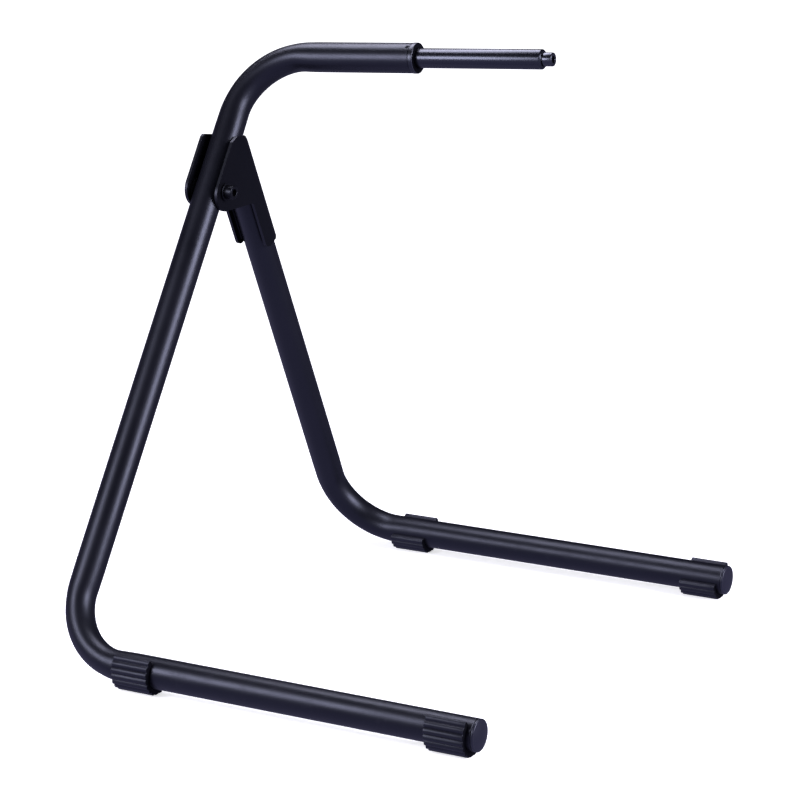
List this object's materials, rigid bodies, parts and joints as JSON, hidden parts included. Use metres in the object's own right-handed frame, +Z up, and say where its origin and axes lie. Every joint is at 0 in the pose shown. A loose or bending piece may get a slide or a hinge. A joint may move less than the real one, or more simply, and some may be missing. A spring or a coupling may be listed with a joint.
{
  "type": "bike repair stand",
  "caption": "Folding A-frame bike stand of two bent tubes, hinged at a folded steel bracket, with a stub spindle on its arm for a hollow crank axle.",
  "frame": {"origin": "on the floor, below the middle of the open stand's bounding box", "axes": "+Z up, +X along the feet and the arm from the legs towards the spindle's free end, +Y from the main foot to the side foot"},
  "size_m": [0.3585, 0.4236, 0.4272],
  "materials": {
    "frame_paint": "satin dark blue-black powder coat",
    "bracket_paint": "semi-matte black powder coat",
    "spindle_finish": "gloss dark anodised, turned",
    "spindle_steel": "dark plated, turned",
    "black_steel": "black oxide",
    "bush_plastic": "moulded nylon, fine grain",
    "spacer_nylon": "plain nylon",
    "pad_rubber": "ribbed soft rubber",
    "cap_plastic": "smooth moulded plastic"
  },
  "bodies": {
    "main_frame": {"main_tube": "frame_paint", "arm_bush": "bush_plastic", "bush_screw": "black_steel", "spindle_screw": "spindle_steel", "spindle_anchor": "spindle_steel", "main_inner_pad": "pad_rubber", "main_outer_pad": "pad_rubber", "main_foot_cap": "cap_plastic", "pivot_sleeve": "spindle_steel", "pivot_spacers": "spacer_nylon"},
    "side_frame": {"side_tube": "frame_paint", "hinge_bracket": "bracket_paint", "bracket_welds": "bracket_paint", "pivot_bolt": "black_steel", "bolt_washer": "black_steel", "pivot_nut": "black_steel", "side_inner_pad": "pad_rubber", "side_outer_pad": "pad_rubber", "side_foot_cap": "cap_plastic"},
    "crank_sleeve": {"spindle_sleeve": "spindle_finish"}
  },
  "joints": [
    {"name": "leg_fold", "type": "hinge", "parent": "main_frame", "child": "side_frame", "pos_m": [-0.15925, 0.00258, 0.31675], "axis": [-1, 0, 0], "range_deg": [0, 59.5]},
    {"name": "sleeve_spin", "type": "hinge", "parent": "main_frame", "child": "crank_sleeve", "pos_m": [0.03008, 0.06911, 0.41776], "axis": [0.9986, 0.0295, 0.0447], "continuous": true}
  ]
}
